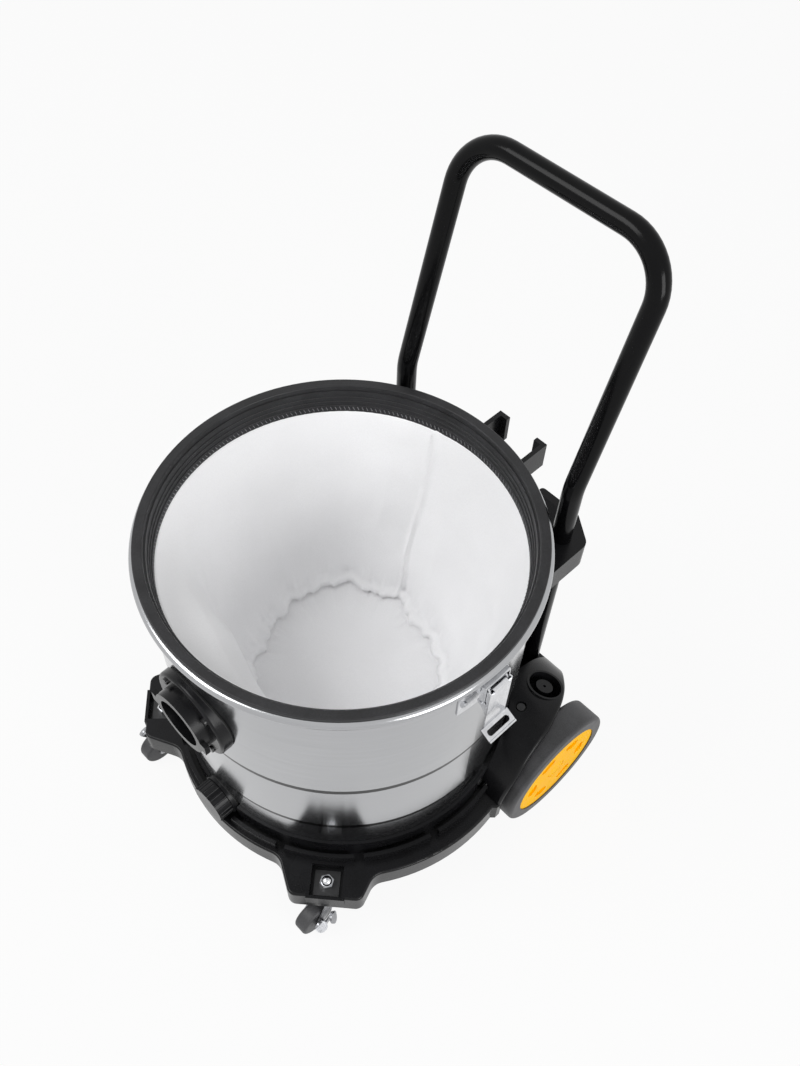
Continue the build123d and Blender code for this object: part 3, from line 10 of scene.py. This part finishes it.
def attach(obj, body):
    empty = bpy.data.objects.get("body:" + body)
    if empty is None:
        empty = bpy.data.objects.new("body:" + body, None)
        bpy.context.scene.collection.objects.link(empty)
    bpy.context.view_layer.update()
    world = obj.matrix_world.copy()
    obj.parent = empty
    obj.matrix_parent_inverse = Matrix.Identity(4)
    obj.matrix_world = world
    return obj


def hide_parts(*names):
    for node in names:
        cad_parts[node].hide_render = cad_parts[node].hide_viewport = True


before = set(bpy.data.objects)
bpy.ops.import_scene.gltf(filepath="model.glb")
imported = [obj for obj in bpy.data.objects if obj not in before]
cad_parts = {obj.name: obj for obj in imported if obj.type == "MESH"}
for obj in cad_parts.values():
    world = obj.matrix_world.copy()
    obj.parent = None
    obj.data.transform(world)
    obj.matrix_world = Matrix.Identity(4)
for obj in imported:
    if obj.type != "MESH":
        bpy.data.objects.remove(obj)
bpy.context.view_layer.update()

MM = 0.001
UP = Vector((0, 0, 1))
MERGE_DISTANCE = 0.01 * MM

# Camera, matched to the photograph's frame of 800 by 1066
FRAME_W, FRAME_H = 800, 1066
VIEW_AZIMUTH = math.radians(45.97)
VIEW_ELEVATION = math.radians(56.72)
VIEW_ROLL = math.radians(0.82)
VIEW_CENTRE = Vector((0, 0, 0.4))
VIEW_SLIDE = (0.0327, -0.0071)
VIEW_DISTANCE = 1.2086
VIEW_FOCUS_PX = 1059.4
VIEW_AXIS_PX = (372.1, 591.0)
SENSOR_MM = 36.0

# Studio floor, room and soft boxes: each box has a place, a width in metres and a power in watts
FLOOR_HALF = 6.0
FLOOR_GLOW = 0.92
ROOM_LIGHT = 0.52
BACKDROP_WHITE = 0.97
SOFT_BOXES = {
    "key_box": ((-1.1, -1.8, 2.8), 1.7, 51.0),
    "fill_box": ((2.4, -0.2, 1.3), 1.2, 32.0),
}

# Patterns of every finish: detail of the two noises, and the range of values that each spreads over
GRAIN_DETAIL = 3.0
PATCH_DETAIL = 2.0
PATCH_RANGE = (0.3, 0.7)
TINT_RANGE = (0.12, 0.38)

# Places of the colour sockets on a Mix node
MIX_A, MIX_B, MIX_RESULT = 6, 7, 2

# Painted shade: dark lines drawn in the steel's colour under the drum's two swaged steps
STEP_SHADE_COLOUR = "#1E1E1F"
STEP_SHADE_HEIGHTS = (195.0 * MM, 304.0 * MM)
STEP_SHADE_HALF_HEIGHT = 4.0 * MM

# Filter cloth: a cone from the collar down to a round floor
CLOTH_TOP_R = 203.4 * MM
CLOTH_TOP_Z = 470.0 * MM
CLOTH_FLOOR_R = 125.0 * MM
CLOTH_FLOOR_Z = 210.0 * MM
CLOTH_THICKNESS = 1.4 * MM
CLOTH_STEPS = 320
WALL_ROWS = 56
FLOOR_ROWS = 12
POLE_R = 1 * MM

# Lobes of the cloth's lower end, which grow with the depth
LOBES = 3
LOBE_DEPTH = 9.5 * MM
LOBE_ANGLE = math.radians(147)
LOBE_GROWTH = 1.6

# Slack fold that hangs inwards over the inlet
SAG_ANGLE = math.radians(-104)
SAG_SPREAD = math.radians(30)
SAG_DEPTH = 42.0 * MM
SAG_Z = 395.0 * MM
SAG_REACH = 80.0 * MM

# Side seam, with the cloth drawn back into a crease along it
SEAM_ANGLE = math.radians(104.3)
SEAM_HEIGHT = 4.5 * MM
SEAM_HALF_WIDTH = 2.4 * MM
SEAM_WANDER = 7.0 * MM
SEAM_WAVE = 13
SEAM_GROWTH = 3
CREASE_DEPTH = 9.0 * MM
CREASE_REACH = 45.0 * MM

# Gathered seam where the wall meets the floor, and the fin of cloth that stands there
PUCKER_SIZE = 20.0 * MM
PUCKER_DEPTH = 11.0 * MM
PUCKER_ROUGHNESS = 0.6
PUCKER_LIFT = 0.5
FIN_HEIGHT = 8.0 * MM
FIN_INSET = 5.5 * MM
FIN_SHOULDER = 1.6

# Soft folds all over the wall, and slow waves on the floor
FOLD_DEPTH = 3.5 * MM
FOLD_SIZE = 95.0 * MM
FOLD_ROUGHNESS = 0.7
FLOOR_WAVE = 3 * MM
NOISE_STEP = 2.0
NOISE_LAYERS = 3

# Shares of the cloth's depth over which its forms set in below the collar, and the gathers above the floor
SAG_START = 0.12
FOLD_START = 0.2
SEAM_START = 0.03
CREASE_START = 0.3
GATHER_SHARE = 0.09

# Powers by which forms of the wall fade out towards the middle of the floor
WALL_FADE = 2
GATHER_FADE = 6
SEAM_FADE = 20

# Stitches: two rows beside the side seam, and a slanting row round the collar's foot
STITCH_LENGTH = 3.6 * MM
STITCH_GAP = 2.0 * MM
STITCH_R = 0.45 * MM
STITCH_SIDES = 6
SEAM_STITCH_INSET = 0.6 * STITCH_R
SEAM_ROW_OFFSET = 2.2
SEAM_TOP_GAP = 8 * MM
SEAM_UNSEWN = 30 * MM
HEM_STITCHES = 240
HEM_STITCH_INSET = 0.4 * STITCH_R
HEM_STITCH_LEAN = 0.35
HEM_LOW = 0.6 * MM
HEM_HIGH = 4.4 * MM

# Ribbed band on the collar's inner slope, whose ends are given as radius and height
RIB_HEIGHTS = (478.0 * MM, 484.0 * MM, 490.0 * MM)
RIB_R = 0.8 * MM
RIB_INSET = 0.2 * RIB_R
RIB_SIDES = 8
RING_STEPS = 180
COLLAR_LOW = (203.0 * MM, 471.0 * MM)
COLLAR_HIGH = (208.0 * MM, 497.3 * MM)


def linear(code):
    """An sRGB hex colour as linear RGBA."""
    parts = [int(code[i : i + 2], 16) / 255 for i in (1, 3, 5)]
    return (*[c / 12.92 if c <= 0.04045 else ((c + 0.055) / 1.055) ** 2.4 for c in parts], 1.0)


def per_mm(size):
    """Pattern scale that repeats every so many millimetres on coordinates in metres."""
    return 1000.0 / size


def add(tree, kind, inputs=None, **settings):
    """Adds one node, with its settings, and with a value or a link for each named input."""
    made = tree.nodes.new(kind)
    for name, value in settings.items():
        setattr(made, name, value)
    for name, value in (inputs or {}).items():
        if isinstance(value, bpy.types.NodeSocket):
            tree.links.new(value, made.inputs[name])
        else:
            made.inputs[name].default_value = value
    return made


def start_material(name, colour, sockets):
    """A material with one Principled shader, and the Object coordinates that its patterns lie on."""
    made = bpy.data.materials.new(name)
    made.use_nodes = True
    tree = made.node_tree
    tree.nodes.clear()
    shader = add(tree, "ShaderNodeBsdfPrincipled", {"Base Color": linear(colour), **sockets})
    add(tree, "ShaderNodeOutputMaterial", {"Surface": shader.outputs["BSDF"]})
    place = add(tree, "ShaderNodeTexCoord").outputs["Object"]
    return made, tree, shader, place


def dress(made, tree, shader, place, grain_mm, stretch, tones, roughness, bump_mm, patch_mm):
    """Grain that moves the bump, broad patches that move the roughness, and both together the colour."""
    spread = add(tree, "ShaderNodeMapping", {"Vector": place, "Scale": stretch}).outputs[0]
    grain = add(tree, "ShaderNodeTexNoise",
                {"Vector": spread, "Scale": per_mm(grain_mm), "Detail": GRAIN_DETAIL}).outputs["Fac"]
    patch = add(tree, "ShaderNodeTexNoise",
                {"Vector": place, "Scale": per_mm(patch_mm), "Detail": PATCH_DETAIL}).outputs["Fac"]
    blend = add(tree, "ShaderNodeMath", {0: grain, 1: patch}, operation="MULTIPLY")
    tint = add(tree, "ShaderNodeMapRange",
               {"Value": blend.outputs[0], "From Min": TINT_RANGE[0], "From Max": TINT_RANGE[1]})
    colour = add(tree, "ShaderNodeMix",
                 {"Factor": tint.outputs[0], MIX_A: linear(tones[0]), MIX_B: linear(tones[1])},
                 data_type="RGBA")
    tree.links.new(colour.outputs[MIX_RESULT], shader.inputs["Base Color"])
    rough = add(tree, "ShaderNodeMapRange",
                {"Value": patch, "From Min": PATCH_RANGE[0], "From Max": PATCH_RANGE[1],
                 "To Min": roughness[0], "To Max": roughness[1]})
    tree.links.new(rough.outputs[0], shader.inputs["Roughness"])
    bump = add(tree, "ShaderNodeBump", {"Height": grain, "Strength": 1.0, "Distance": bump_mm * MM})
    tree.links.new(bump.outputs[0], shader.inputs["Normal"])
    return made


# Bright-annealed stainless sheet, rolled into a drum: a soft mirror with faint lines around it, 2.5 mm apart.
# Painted shade darkens a line under each of the two swaged steps.
steel_start = start_material("rolled_stainless_sheet", "#ACADAF", {"Metallic": 1.0})
stainless = dress(*steel_start, grain_mm=2.5, stretch=(0.02, 0.02, 1.0), tones=("#ABACAE", "#B0B1B3"),
                  roughness=(0.15, 0.19), bump_mm=0.0001, patch_mm=120)
steel_tree, steel_shader, steel_place = steel_start[1:]
height = add(steel_tree, "ShaderNodeSeparateXYZ", {"Vector": steel_place}).outputs["Z"]
low_line, high_line = [
    add(steel_tree, "ShaderNodeMath", {0: height, 1: z, 2: STEP_SHADE_HALF_HEIGHT}, operation="COMPARE").outputs[0]
    for z in STEP_SHADE_HEIGHTS
]
# Painted shade: a band of dark colour just under each step, where the step casts shade
step_shade = add(steel_tree, "ShaderNodeMath", {0: low_line, 1: high_line}, operation="MAXIMUM")
plain_steel = steel_shader.inputs["Base Color"].links[0].from_socket
shaded_steel = add(steel_tree, "ShaderNodeMix",
                  {"Factor": step_shade.outputs[0], MIX_A: plain_steel, MIX_B: linear(STEP_SHADE_COLOUR)},
                  data_type="RGBA")
steel_tree.links.new(shaded_steel.outputs[MIX_RESULT], steel_shader.inputs["Base Color"])

# Moulded polypropylene: near black, satin, its mould's spark texture drawn coarser to show, at 1.2 mm.
black_moulding = dress(*start_material("moulded_black_polypropylene", "#0E0E0F",
                                       {"IOR": 1.49, "Specular IOR Level": 0.2}),
                       grain_mm=1.2, stretch=(1, 1, 1), tones=("#0E0E0F", "#161618"),
                       roughness=(0.22, 0.30), bump_mm=0.012, patch_mm=45)

# Filter collar in thermoplastic elastomer: dark grey, a little softer in gloss than the mouldings.
collar_elastomer = dress(*start_material("collar_elastomer", "#262627",
                                         {"IOR": 1.50, "Specular IOR Level": 0.3}),
                         grain_mm=1.6, stretch=(1, 1, 1), tones=("#202021", "#2C2C2E"),
                         roughness=(0.34, 0.44), bump_mm=0.015, patch_mm=30)

# Steel tube in gloss black powder coat: deep black, narrow highlights and a faint orange peel 3 mm across.
black_coat = dress(*start_material("gloss_black_powder_coat", "#0A0A0B",
                                   {"IOR": 1.52, "Specular IOR Level": 0.11}),
                   grain_mm=3.0, stretch=(1, 1, 1), tones=("#060607", "#0A0A0B"),
                   roughness=(0.14, 0.18), bump_mm=0.002, patch_mm=60)

# Vulcanised tyre rubber: dark grey, nearly matt, dusty in patches.
tyre_rubber = dress(*start_material("vulcanised_tyre_rubber", "#444445",
                                    {"IOR": 1.52, "Specular IOR Level": 0.3}),
                    grain_mm=1.4, stretch=(1, 1, 1), tones=("#3C3C3D", "#4C4C4E"),
                    roughness=(0.42, 0.55), bump_mm=0.03, patch_mm=25)

# Nitrile rubber of gaskets and seals: black and matt.
seal_rubber = dress(*start_material("nitrile_seal_rubber", "#161616", {"IOR": 1.52}),
                    grain_mm=1.0, stretch=(1, 1, 1), tones=("#121212", "#1E1E1E"),
                    roughness=(0.60, 0.72), bump_mm=0.02, patch_mm=12)

# Dyed ABS of the wheel discs: warm yellow with a satin moulded face.
yellow_abs = dress(*start_material("moulded_yellow_abs", "#FFBF00", {"IOR": 1.53, "Specular IOR Level": 0.1}),
                   grain_mm=1.2, stretch=(1, 1, 1), tones=("#FFBB00", "#FFC300"),
                   roughness=(0.50, 0.60), bump_mm=0.008, patch_mm=30)

# Bright zinc on pressed steel: latches, rivets and cap nuts, a cloudy mirror with fine handling marks.
bright_zinc = dress(*start_material("bright_zinc_pressing", "#CFD0D2", {"Metallic": 1.0}),
                    grain_mm=0.9, stretch=(1, 1, 0.25), tones=("#C3C4C7", "#DCDDDF"),
                    roughness=(0.10, 0.22), bump_mm=0.004, patch_mm=9)

# Dull zinc on stamped steel: castor forks and stems, brake wings, axles and handle screws, grey and mottled.
dull_zinc = dress(*start_material("dull_zinc_stamping", "#9C9DA0", {"Metallic": 1.0}),
                  grain_mm=1.0, stretch=(1, 1, 1), tones=("#8B8C8F", "#ACADB0"),
                  roughness=(0.28, 0.42), bump_mm=0.008, patch_mm=8)

# Black oxide on steel: the screws of the inlet and housings, and the castor washers, dark with a dull shine.
black_oxide = dress(*start_material("black_oxide_steel", "#151516", {"IOR": 1.6}),
                    grain_mm=1.0, stretch=(1, 1, 1), tones=("#101011", "#1C1C1E"),
                    roughness=(0.30, 0.42), bump_mm=0.006, patch_mm=8)

# Natural acetal of the wheel bushes: milky white and waxy.
acetal = dress(*start_material("natural_acetal", "#E3E2DC", {"IOR": 1.48}),
               grain_mm=1.0, stretch=(1, 1, 1), tones=("#DDDCD5", "#E9E8E3"),
               roughness=(0.32, 0.40), bump_mm=0.006, patch_mm=10)

# Needle-punched polyester felt of the filter: white, dull, its fibres drawn coarser to show, at 1.6 mm.
felt = dress(*start_material("needled_polyester_felt", "#F3F3F4",
                             {"IOR": 1.5, "Specular IOR Level": 0.1}),
             grain_mm=1.6, stretch=(1, 1, 1), tones=("#F0F0F1", "#F6F6F7"),
             roughness=(0.85, 0.95), bump_mm=0.05, patch_mm=120)

# Spun polyester thread, white on the cloth and grey on the collar: soft, with a faint sheen.
white_thread = dress(*start_material("white_polyester_thread", "#F0F0F0", {"Sheen Weight": 0.2}),
                     grain_mm=0.8, stretch=(1, 1, 1), tones=("#E2E2E4", "#F6F6F6"),
                     roughness=(0.70, 0.85), bump_mm=0.05, patch_mm=10)
grey_thread = dress(*start_material("grey_polyester_thread", "#6A6A6C", {"Sheen Weight": 0.2}),
                    grain_mm=0.8, stretch=(1, 1, 1), tones=("#5A5A5C", "#7A7A7C"),
                    roughness=(0.60, 0.75), bump_mm=0.05, patch_mm=10)

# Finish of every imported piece. A name that ends in _ stands for a left and a right piece
SIDES = ("left", "right")
FINISHES = {
    stainless: ["tank"],
    black_moulding: ["inlet_fitting", "inlet_deflector", "drain_spout", "drain_nut", "drain_cap",
                     "handle_bracket", "chassis", "wheel_housing_"],
    collar_elastomer: ["filter_ring"],
    black_coat: ["handle_tube"],
    tyre_rubber: ["rear_tyre_", "caster_wheel_"],
    seal_rubber: ["inlet_gasket", "drain_gasket", "drain_seal"],
    yellow_abs: ["rear_hub_", "hub_cap_"],
    bright_zinc: ["latch_base_", "latch_lever_", "latch_claw_", "claw_pin_", "latch_rivets",
                  "latch_pivot_pins", "caster_nuts", "bracket_screws"],
    dull_zinc: ["handle_screws", "rear_axle", "axle_spacers", "axle_clips", "caster_stems", "caster_fork_",
                "caster_axle_", "caster_brake_"],
    black_oxide: ["inlet_screws", "housing_screws", "caster_washers"],
    acetal: ["rear_bush_"],
    felt: ["filter_bag"],
}
for material, names in FINISHES.items():
    for name in names:
        nodes = [name + side for side in SIDES] if name.endswith("_") else [name]
        for node in nodes:
            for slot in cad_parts[node].material_slots:
                slot.material = material


def put_piece(shape, name, material, body):
    """Makes an object from a bmesh in the row's frame, and lets it ride on a body."""
    mesh = bpy.data.meshes.new(name)
    bmesh.ops.recalc_face_normals(shape, faces=shape.faces)
    shape.to_mesh(mesh)
    shape.free()
    for face in mesh.polygons:
        face.use_smooth = True
    piece = bpy.data.objects.new(name, mesh)
    bpy.context.scene.collection.objects.link(piece)
    mesh.materials.append(material)
    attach(piece, body)
    return piece


def spin_profile(points, steps):
    """Turns a profile of (radius, height) points all the way round the drum's axis."""
    shape = bmesh.new()
    corners = [shape.verts.new((r, 0, z)) for r, z in points]
    edges = [shape.edges.new(pair) for pair in zip(corners, corners[1:])]
    bmesh.ops.spin(shape, geom=corners + edges, cent=(0, 0, 0), axis=UP, angle=math.tau, steps=steps,
                   use_merge=True)
    bmesh.ops.remove_doubles(shape, verts=shape.verts, dist=MERGE_DISTANCE)
    return shape


def turn_between(a, b):
    """Smallest turn from angle b to angle a."""
    return (a - b + math.pi) % math.tau - math.pi


def bell(x):
    """Smooth bump: 1 at zero, and next to nothing past 2 on either side."""
    return math.exp(-x * x)


def seam_turn(height):
    """Angle of the side seam at a height: nearly straight, wandering where the cloth is gathered."""
    low = 1 - (height - CLOTH_FLOOR_Z) / (CLOTH_TOP_Z - CLOTH_FLOOR_Z)
    return SEAM_ANGLE + low ** SEAM_GROWTH * SEAM_WANDER * math.sin(SEAM_WAVE * low) / CLOTH_FLOOR_R


def hang(point):
    """Moves a point of the plain cone to where the hanging cloth takes it."""
    radius = math.hypot(point.x, point.y)
    turn = math.atan2(point.y, point.x)
    height = point.z
    if radius < POLE_R:
        return point
    drop = min(max((CLOTH_TOP_Z - height) / (CLOTH_TOP_Z - CLOTH_FLOOR_Z), 0), 1)
    reach = min(radius / CLOTH_FLOOR_R, 1)
    lobe = LOBE_DEPTH * math.cos(LOBES * (turn - LOBE_ANGLE)) * drop ** LOBE_GROWTH * reach ** WALL_FADE
    sag = SAG_DEPTH * bell(turn_between(turn, SAG_ANGLE) / SAG_SPREAD) * bell((height - SAG_Z) / SAG_REACH)
    sag *= min(drop / SAG_START, 1)
    spot = Vector((math.cos(turn), math.sin(turn), height / CLOTH_FLOOR_R)) * (CLOTH_FLOOR_R / FOLD_SIZE)
    fold = FOLD_DEPTH * noise.fractal(spot, FOLD_ROUGHNESS, NOISE_STEP, NOISE_LAYERS)
    fold = fold * min(drop / FOLD_START, 1) * reach
    near_floor = bell((drop - 1) / GATHER_SHARE) * reach ** GATHER_FADE
    gather = Vector((math.cos(turn), math.sin(turn), 0)) * (CLOTH_FLOOR_R / PUCKER_SIZE)
    pucker = PUCKER_DEPTH * near_floor * noise.fractal(gather, PUCKER_ROUGHNESS, NOISE_STEP, NOISE_LAYERS)
    along = turn_between(turn, seam_turn(height)) * radius
    ridge = SEAM_HEIGHT * (1 + drop ** SEAM_GROWTH) * bell(along / SEAM_HALF_WIDTH)
    ridge = ridge * min(drop / SEAM_START, 1) * reach ** SEAM_FADE
    crease = CREASE_DEPTH * max(1 - abs(along) / CREASE_REACH, 0)
    crease = crease * min(drop / CREASE_START, 1) * reach ** WALL_FADE
    moved = radius + lobe - sag + fold + pucker + crease - ridge
    wave = noise.noise(Vector((point.x, point.y, 0)) / FOLD_SIZE)
    lift = PUCKER_LIFT * pucker + (1 - reach) * FLOOR_WAVE * wave
    return Vector((moved * math.cos(turn), moved * math.sin(turn), height + lift))


def hang_cloth():
    """Filter bag: cone from the collar to a round floor, with the seam's fin standing where they meet."""
    foot_z = CLOTH_FLOOR_Z + 2 * FIN_HEIGHT
    wall = [(CLOTH_TOP_R + (CLOTH_FLOOR_R - CLOTH_TOP_R) * row / WALL_ROWS,
             CLOTH_TOP_Z + (foot_z - CLOTH_TOP_Z) * row / WALL_ROWS)
            for row in range(WALL_ROWS + 1)]
    fin_r = CLOTH_FLOOR_R - FIN_INSET
    fin = [(fin_r, CLOTH_FLOOR_Z + FIN_SHOULDER * FIN_HEIGHT),
           (fin_r - FIN_INSET, CLOTH_FLOOR_Z + FIN_HEIGHT),
           (fin_r - FIN_INSET / 3, CLOTH_FLOOR_Z + FIN_HEIGHT / 2)]
    floor = [(fin_r * (1 - row / FLOOR_ROWS), CLOTH_FLOOR_Z) for row in range(FLOOR_ROWS + 1)]
    shape = spin_profile(wall + fin + floor, CLOTH_STEPS)
    for vert in shape.verts:
        vert.co = hang(vert.co)
    bag = put_piece(shape, "filter_cloth", felt, "filter")
    thickness = bag.modifiers.new("cloth_thickness", "SOLIDIFY")
    thickness.thickness = CLOTH_THICKNESS
    thickness.offset = -1
    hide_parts("filter_bag")
    return bag


def stitch(shape, start, end):
    """One stitch: a thin round thread between two points."""
    run = end - start
    place = Matrix.Translation((start + end) / 2) @ run.to_track_quat("Z", "Y").to_matrix().to_4x4()
    bmesh.ops.create_cone(shape, cap_ends=True, segments=STITCH_SIDES, radius1=STITCH_R, radius2=STITCH_R,
                          depth=run.length, matrix=place)


def cloth_point(turn, height, inset):
    """Point on the inside of the hung cloth, a little in front of it."""
    drop = (CLOTH_TOP_Z - height) / (CLOTH_TOP_Z - CLOTH_FLOOR_Z)
    radius = CLOTH_TOP_R + (CLOTH_FLOOR_R - CLOTH_TOP_R) * drop
    spot = hang(Vector((radius * math.cos(turn), radius * math.sin(turn), height)))
    return spot - Vector((math.cos(turn), math.sin(turn), 0)) * inset


def sew_side_seam():
    """Two rows of stitches along the bag's side seam."""
    shape = bmesh.new()
    pitch = STITCH_LENGTH + STITCH_GAP
    count = int((CLOTH_TOP_Z - CLOTH_FLOOR_Z - SEAM_UNSEWN) / pitch)
    for row in (-1, 1):
        for index in range(count):
            top = CLOTH_TOP_Z - SEAM_TOP_GAP - index * pitch
            ends = []
            for height in (top, top - STITCH_LENGTH):
                turn = seam_turn(height) + row * SEAM_ROW_OFFSET * SEAM_HALF_WIDTH / CLOTH_TOP_R
                ends.append(cloth_point(turn, height, SEAM_STITCH_INSET))
            stitch(shape, *ends)
    return put_piece(shape, "seam_stitches", white_thread, "filter")


def slope_point(turn, height, inset):
    """Point on the collar's inner slope, a little in front of it."""
    share = (height - COLLAR_LOW[1]) / (COLLAR_HIGH[1] - COLLAR_LOW[1])
    radius = COLLAR_LOW[0] + share * (COLLAR_HIGH[0] - COLLAR_LOW[0]) - inset
    return Vector((radius * math.cos(turn), radius * math.sin(turn), height))


def rib_collar():
    """Three fine rings moulded on the collar's slope."""
    shape = bmesh.new()
    for height in RIB_HEIGHTS:
        place = Matrix.Translation(slope_point(0, height, RIB_INSET)) @ Matrix.Rotation(math.pi / 2, 4, "X")
        ring = bmesh.ops.create_circle(shape, segments=RIB_SIDES, radius=RIB_R, matrix=place)
        edges = list({edge for vert in ring["verts"] for edge in vert.link_edges})
        bmesh.ops.spin(shape, geom=ring["verts"] + edges, cent=(0, 0, 0), axis=UP, angle=math.tau,
                       steps=RING_STEPS, use_merge=True)
    bmesh.ops.remove_doubles(shape, verts=shape.verts, dist=MERGE_DISTANCE)
    put_piece(shape, "collar_ribs", collar_elastomer, "filter")


def sew_collar():
    """Slanting stitches that hold the cloth's hem to the collar's foot."""
    shape = bmesh.new()
    low = COLLAR_LOW[1] + HEM_LOW
    high = COLLAR_LOW[1] + HEM_HIGH
    lean = HEM_STITCH_LEAN * math.tau / HEM_STITCHES
    for index in range(HEM_STITCHES):
        turn = index * math.tau / HEM_STITCHES
        start = slope_point(turn, low, HEM_STITCH_INSET)
        end = slope_point(turn + lean, high, HEM_STITCH_INSET)
        stitch(shape, start, end)
    put_piece(shape, "hem_stitches", grey_thread, "filter")


bag = hang_cloth()
seam_stitches = sew_side_seam()
rib_collar()
sew_collar()


def seen_directly(tree):
    """1 for rays from the camera, also by way of a mirror or glass, and 0 for rays that only carry light."""
    rays = add(tree, "ShaderNodeLightPath").outputs
    camera_or_mirror = add(tree, "ShaderNodeMath", {0: rays["Is Camera Ray"], 1: rays["Is Glossy Ray"]},
                           operation="MAXIMUM")
    also_glass = {0: camera_or_mirror.outputs[0], 1: rays["Is Transmission Ray"]}
    return add(tree, "ShaderNodeMath", also_glass, operation="MAXIMUM").outputs[0]


# Pale floor: white to the camera and to mirrors, with a soft shadow left on it
floor_mesh = bpy.data.meshes.new("studio_floor")
floor_shape = bmesh.new()
bmesh.ops.create_grid(floor_shape, x_segments=1, y_segments=1, size=FLOOR_HALF)
floor_shape.to_mesh(floor_mesh)
floor_shape.free()
floor = bpy.data.objects.new("studio_floor", floor_mesh)
bpy.context.scene.collection.objects.link(floor)
floor_paint = bpy.data.materials.new("matt_white_floor")
floor_paint.use_nodes = True
paint = floor_paint.node_tree
paint.nodes.clear()
share = add(paint, "ShaderNodeMath", {0: seen_directly(paint), 1: FLOOR_GLOW}, operation="MULTIPLY")
matt = add(paint, "ShaderNodeBsdfDiffuse", {"Color": linear("#D0D0D0")})
glow = add(paint, "ShaderNodeEmission", {"Color": linear("#FFFFFF"), "Strength": 1.0})
mixed = add(paint, "ShaderNodeMixShader", {0: share.outputs[0], 1: matt.outputs[0], 2: glow.outputs[0]})
add(paint, "ShaderNodeOutputMaterial", {"Surface": mixed.outputs[0]})
floor_mesh.materials.append(floor_paint)

# Pale room: white to the camera and to mirrors, and dimmer as light
world = bpy.data.worlds.new("pale_room")
bpy.context.scene.world = world
world.use_nodes = True
room = world.node_tree
room.nodes.clear()
glare = add(room, "ShaderNodeMapRange",
            {"Value": seen_directly(room), "To Min": ROOM_LIGHT, "To Max": BACKDROP_WHITE})
sky = add(room, "ShaderNodeBackground", {"Color": linear("#FFFFFF"), "Strength": glare.outputs[0]})
add(room, "ShaderNodeOutputWorld", {"Surface": sky.outputs[0]})

# Soft boxes: a large one above the camera's left shoulder, and a weaker one on the right
for name, (spot, size, power) in SOFT_BOXES.items():
    lamp = bpy.data.lights.new(name, "AREA")
    lamp.size = size
    lamp.energy = power
    box = bpy.data.objects.new(name, lamp)
    aim = (Vector(spot) - VIEW_CENTRE).to_track_quat("Z", "Y")
    box.matrix_world = Matrix.Translation(spot) @ aim.to_matrix().to_4x4()
    bpy.context.scene.collection.objects.link(box)

# Camera
away = Vector((math.sin(VIEW_AZIMUTH) * math.cos(VIEW_ELEVATION),
               -math.cos(VIEW_AZIMUTH) * math.cos(VIEW_ELEVATION), math.sin(VIEW_ELEVATION)))
level = Vector((math.cos(VIEW_AZIMUTH), math.sin(VIEW_AZIMUTH), 0))
rise = away.cross(level)
across = math.cos(VIEW_ROLL) * level + math.sin(VIEW_ROLL) * rise
upright = away.cross(across)
eye = VIEW_CENTRE + VIEW_SLIDE[0] * across + VIEW_SLIDE[1] * upright + VIEW_DISTANCE * away
lens = bpy.data.cameras.new("photo_camera")
lens.sensor_width = SENSOR_MM
lens.lens = SENSOR_MM * VIEW_FOCUS_PX / FRAME_H
lens.shift_x = (FRAME_W / 2 - VIEW_AXIS_PX[0]) / FRAME_H
lens.shift_y = (VIEW_AXIS_PX[1] - FRAME_H / 2) / FRAME_H
camera = bpy.data.objects.new("photo_camera", lens)
camera.matrix_world = Matrix.Translation(eye) @ Matrix((across, upright, away)).transposed().to_4x4()
bpy.context.scene.collection.objects.link(camera)
bpy.context.scene.camera = camera
bpy.context.scene.view_settings.view_transform = "Standard"
